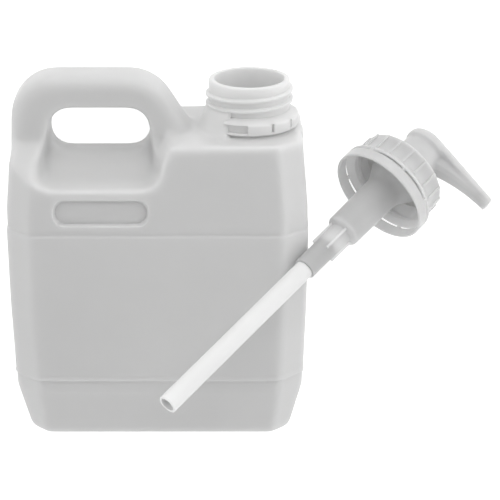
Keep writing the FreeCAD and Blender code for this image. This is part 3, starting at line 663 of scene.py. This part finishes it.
def mouldedSkinGroup():
    # cloudy tone, dull and bright patches, fine grain and a few faint rubs, all on the piece's own coordinates
    group = bpy.data.node_groups.new("mouldedSkin", "ShaderNodeTree")
    face = group.interface
    face.new_socket("Place", in_out="INPUT", socket_type="NodeSocketVector")
    for name in ("Light Tone", "Dark Tone"):
        face.new_socket(name, in_out="INPUT", socket_type="NodeSocketColor")
    for name in ("Cloud Scale", "Grain Scale", "Rough Low", "Rough High"):
        face.new_socket(name, in_out="INPUT", socket_type="NodeSocketFloat")
    face.new_socket("Tone", in_out="OUTPUT", socket_type="NodeSocketColor")
    face.new_socket("Rough", in_out="OUTPUT", socket_type="NodeSocketFloat")
    face.new_socket("Height", in_out="OUTPUT", socket_type="NodeSocketFloat")
    nodes = group.nodes
    given = nodes.new("NodeGroupInput")
    out = nodes.new("NodeGroupOutput")
    cloud = nodes.new("ShaderNodeTexNoise")
    cloud.inputs["Detail"].default_value = 3.0
    wire(group, given.outputs["Place"], cloud.inputs["Vector"])
    wire(group, given.outputs["Cloud Scale"], cloud.inputs["Scale"])
    spread = nodes.new("ShaderNodeMapRange")
    spread.inputs["From Min"].default_value = 0.3
    spread.inputs["From Max"].default_value = 0.7
    wire(group, cloud.outputs["Fac"], spread.inputs["Value"])
    tone = nodes.new("ShaderNodeMix")
    tone.data_type = "RGBA"
    wire(group, spread.outputs["Result"], tone.inputs["Factor"])
    wire(group, given.outputs["Light Tone"], tone.inputs[6])
    wire(group, given.outputs["Dark Tone"], tone.inputs[7])
    wire(group, tone.outputs[2], out.inputs["Tone"])
    grain = nodes.new("ShaderNodeTexNoise")
    grain.inputs["Detail"].default_value = 2.0
    wire(group, given.outputs["Place"], grain.inputs["Vector"])
    wire(group, given.outputs["Grain Scale"], grain.inputs["Scale"])
    rub = nodes.new("ShaderNodeTexNoise")
    rub.inputs["Scale"].default_value = 55.0
    rub.inputs["Detail"].default_value = 5.0
    rub.inputs["Roughness"].default_value = 0.65
    wire(group, given.outputs["Place"], rub.inputs["Vector"])
    rough = nodes.new("ShaderNodeMapRange")
    rough.inputs["From Min"].default_value = 0.3
    rough.inputs["From Max"].default_value = 0.7
    wire(group, rub.outputs["Fac"], rough.inputs["Value"])
    wire(group, given.outputs["Rough Low"], rough.inputs["To Min"])
    wire(group, given.outputs["Rough High"], rough.inputs["To Max"])
    wire(group, rough.outputs["Result"], out.inputs["Rough"])
    wave = nodes.new("ShaderNodeMath")
    wave.operation = "MULTIPLY_ADD"
    wave.inputs[1].default_value = 0.35
    wire(group, rub.outputs["Fac"], wave.inputs[0])
    wire(group, grain.outputs["Fac"], wave.inputs[2])
    wire(group, wave.outputs[0], out.inputs["Height"])
    return group


mouldedSkin = mouldedSkinGroup()


def plastic(name, finish):
    material = bpy.data.materials.new(name)
    material.use_nodes = True
    tree = material.node_tree
    shader = tree.nodes["Principled BSDF"]
    coords = tree.nodes.new("ShaderNodeTexCoord")
    skin = tree.nodes.new("ShaderNodeGroup")
    skin.node_tree = mouldedSkin
    wire(tree, coords.outputs["Object"], skin.inputs["Place"])
    skin.inputs["Light Tone"].default_value = finish["light"] + (1,)
    skin.inputs["Dark Tone"].default_value = finish["dark"] + (1,)
    skin.inputs["Cloud Scale"].default_value = finish["cloud"]
    skin.inputs["Grain Scale"].default_value = finish["grain"]
    skin.inputs["Rough Low"].default_value = finish["rough"][0]
    skin.inputs["Rough High"].default_value = finish["rough"][1]
    bump = tree.nodes.new("ShaderNodeBump")
    bump.inputs["Strength"].default_value = finish["bump"]
    bump.inputs["Distance"].default_value = 0.0002
    wire(tree, skin.outputs["Height"], bump.inputs["Height"])
    wire(tree, skin.outputs["Tone"], shader.inputs["Base Color"])
    wire(tree, skin.outputs["Rough"], shader.inputs["Roughness"])
    wire(tree, bump.outputs["Normal"], shader.inputs["Normal"])
    shader.inputs["Subsurface Weight"].default_value = finish["soft"]
    shader.inputs["Subsurface Radius"].default_value = (1.0, 1.0, 1.0)
    shader.inputs["Subsurface Scale"].default_value = finish["scatter"]
    shader.inputs["IOR"].default_value = 1.5
    return material


def steel(name, tone, low, high):
    material = bpy.data.materials.new(name)
    material.use_nodes = True
    tree = material.node_tree
    shader = tree.nodes["Principled BSDF"]
    coords = tree.nodes.new("ShaderNodeTexCoord")
    drawn = tree.nodes.new("ShaderNodeTexNoise")
    drawn.inputs["Scale"].default_value = 900.0
    drawn.inputs["Detail"].default_value = 4.0
    rough = tree.nodes.new("ShaderNodeMapRange")
    rough.inputs["To Min"].default_value = low
    rough.inputs["To Max"].default_value = high
    ramp = tree.nodes.new("ShaderNodeValToRGB")
    ramp.color_ramp.elements[0].color = [0.82 * part for part in tone] + [1]
    ramp.color_ramp.elements[1].color = list(tone) + [1]
    wire(tree, coords.outputs["Object"], drawn.inputs["Vector"])
    wire(tree, drawn.outputs["Fac"], rough.inputs["Value"])
    wire(tree, drawn.outputs["Fac"], ramp.inputs["Fac"])
    wire(tree, rough.outputs["Result"], shader.inputs["Roughness"])
    wire(tree, ramp.outputs["Color"], shader.inputs["Base Color"])
    shader.inputs["Metallic"].default_value = 1.0
    return material


plastics = {
    "jugSkin": {"light": (0.74, 0.74, 0.737), "dark": (0.715, 0.715, 0.713), "cloud": 22.0, "grain": 1300.0,
                "rough": (0.36, 0.5), "bump": 0.1, "soft": 0.8, "scatter": 0.005},
    # painted shade: the closure, head, lock collar and stem take a darker tone than the jug's plastic, to stand in
    # for the darker light on the pump
    "shadedPumpSkin": {"light": (0.62, 0.62, 0.62), "dark": (0.59, 0.59, 0.591), "cloud": 60.0, "grain": 2200.0,
                 "rough": (0.28, 0.4), "bump": 0.06, "soft": 0.9, "scatter": 0.009},
    # painted light: the housing and piston rod take a lighter tone than the closure's plastic, to lift the shade
    # they sit in inside the closure
    "brightenedHousingSkin": {"light": (0.77, 0.77, 0.77), "dark": (0.74, 0.74, 0.741), "cloud": 60.0, "grain": 2200.0,
                    "rough": (0.3, 0.42), "bump": 0.06, "soft": 0.9, "scatter": 0.009},
    "tubeSkin": {"light": (0.86, 0.86, 0.856), "dark": (0.83, 0.83, 0.828), "cloud": 45.0, "grain": 1800.0,
                 "rough": (0.32, 0.46), "bump": 0.05, "soft": 0.4, "scatter": 0.002},
    "sealSkin": {"light": (0.7, 0.7, 0.69), "dark": (0.66, 0.66, 0.65), "cloud": 80.0, "grain": 2400.0,
                 "rough": (0.42, 0.55), "bump": 0.06, "soft": 0.1, "scatter": 0.002},
    "gasketFoam": {"light": (0.74, 0.74, 0.72), "dark": (0.66, 0.66, 0.64), "cloud": 300.0, "grain": 3200.0,
                   "rough": (0.7, 0.85), "bump": 0.3, "soft": 0.1, "scatter": 0.002},
}
skins = {name: plastic(name, finish) for name, finish in plastics.items()}
skins["springSteel"] = steel("springSteel", (0.6, 0.61, 0.62), 0.18, 0.34)
skins["ballSteel"] = steel("ballSteel", (0.66, 0.66, 0.67), 0.06, 0.16)


def dress(obj, skin):
    obj.data.materials.clear()
    obj.data.materials.append(skins[skin])


kept = {"neck_gasket": "gasketFoam", "lock_collar": "shadedPumpSkin", "piston_rod": "brightenedHousingSkin", "piston": "sealSkin",
        "stem": "shadedPumpSkin", "return_spring": "springSteel", "inlet_ball": "ballSteel", "outlet_ball": "ballSteel"}
for node, skin in kept.items():
    dress(frame["nodes"][node], skin)
for piece, skin in finished:
    dress(piece, skin)
print("finishes ready")


# camera at the photograph's place

shot = {"spot": (39.3, 356.0, 929.0), "look": (0.0, -0.354, -0.935), "lens": 158.4}


def makeCamera():
    data = bpy.data.cameras.new("shotCamera")
    data.lens = shot["lens"]
    data.sensor_width = 36.0
    data.clip_end = 20.0
    camera = bpy.data.objects.new("shotCamera", data)
    bpy.context.scene.collection.objects.link(camera)
    look = Vector(shot["look"]).normalized()
    side = look.cross(Vector((0, 1, 0))).normalized()
    up = side.cross(look)
    turn = Matrix((side, up, -look)).transposed().to_4x4()
    camera.matrix_world = Matrix.Translation(Vector(shot["spot"]) * mm) @ turn
    bpy.context.scene.camera = camera


makeCamera()


# plain white table and soft light

studio = {
    "floorHalf": 3.0, "floorGrey": 0.9, "floorGlow": 0.66, "zenith": 0.385, "skyline": 1.4,
    # name, place, aim, size, power
    "lights": [("sideRight", (1.1, 0.2, 0.3), (0.05, 0.0, 0.03), (0.8, 0.5), 1.4),
               ("topWindow", (0.1, 1.1, 0.35), (0.05, 0.0, 0.03), (1.2, 0.5), 0.9),
               ("frontWindow", (0.15, 0.75, 0.85), (0.05, 0.03, 0.03), (0.7, 0.5), 1.7)],
}


def makeFloor():
    leaveAlone()
    bpy.ops.mesh.primitive_plane_add(size=2 * studio["floorHalf"])
    floor = bpy.context.object
    floor.name = "whiteTable"
    material = bpy.data.materials.new("whiteTable")
    material.use_nodes = True
    tree = material.node_tree
    nodes = tree.nodes
    nodes.clear()
    out = nodes.new("ShaderNodeOutputMaterial")
    matt = nodes.new("ShaderNodeBsdfDiffuse")
    matt.inputs["Color"].default_value = (studio["floorGrey"],) * 3 + (1,)
    glow = nodes.new("ShaderNodeEmission")
    path = nodes.new("ShaderNodeLightPath")
    first = nodes.new("ShaderNodeMath")
    first.operation = "MAXIMUM"
    second = nodes.new("ShaderNodeMath")
    second.operation = "MAXIMUM"
    level = nodes.new("ShaderNodeMath")
    level.operation = "MULTIPLY"
    level.inputs[1].default_value = studio["floorGlow"]
    both = nodes.new("ShaderNodeAddShader")
    wire(tree, path.outputs["Is Camera Ray"], first.inputs[0])
    wire(tree, path.outputs["Is Glossy Ray"], first.inputs[1])
    wire(tree, first.outputs[0], second.inputs[0])
    wire(tree, path.outputs["Is Transmission Ray"], second.inputs[1])
    wire(tree, second.outputs[0], level.inputs[0])
    wire(tree, level.outputs[0], glow.inputs["Strength"])
    wire(tree, matt.outputs[0], both.inputs[0])
    wire(tree, glow.outputs[0], both.inputs[1])
    wire(tree, both.outputs[0], out.inputs["Surface"])
    floor.data.materials.append(material)


def makeLight(name, spot, aim, size, power):
    data = bpy.data.lights.new(name, "AREA")
    data.shape = "RECTANGLE"
    data.size, data.size_y = size
    data.energy = power
    light = bpy.data.objects.new(name, data)
    bpy.context.scene.collection.objects.link(light)
    light.location = spot
    light.rotation_euler = (Vector(aim) - Vector(spot)).to_track_quat("-Z", "Y").to_euler()


def makeStudio():
    makeFloor()
    world = bpy.data.worlds.new("softRoom")
    bpy.context.scene.world = world
    world.use_nodes = True
    tree = world.node_tree
    coords = tree.nodes.new("ShaderNodeTexCoord")
    split = tree.nodes.new("ShaderNodeSeparateXYZ")
    fade = tree.nodes.new("ShaderNodeMapRange")      # a soft room, dimmer overhead than at its walls
    fade.inputs["To Min"].default_value = studio["skyline"]
    fade.inputs["To Max"].default_value = studio["zenith"]
    wire(tree, coords.outputs["Generated"], split.inputs["Vector"])
    wire(tree, split.outputs["Z"], fade.inputs["Value"])
    wire(tree, fade.outputs["Result"], tree.nodes["Background"].inputs["Color"])
    for light in studio["lights"]:
        makeLight(*light)


makeStudio()
bpy.context.scene.view_settings.view_transform = "Standard"
print("studio ready")
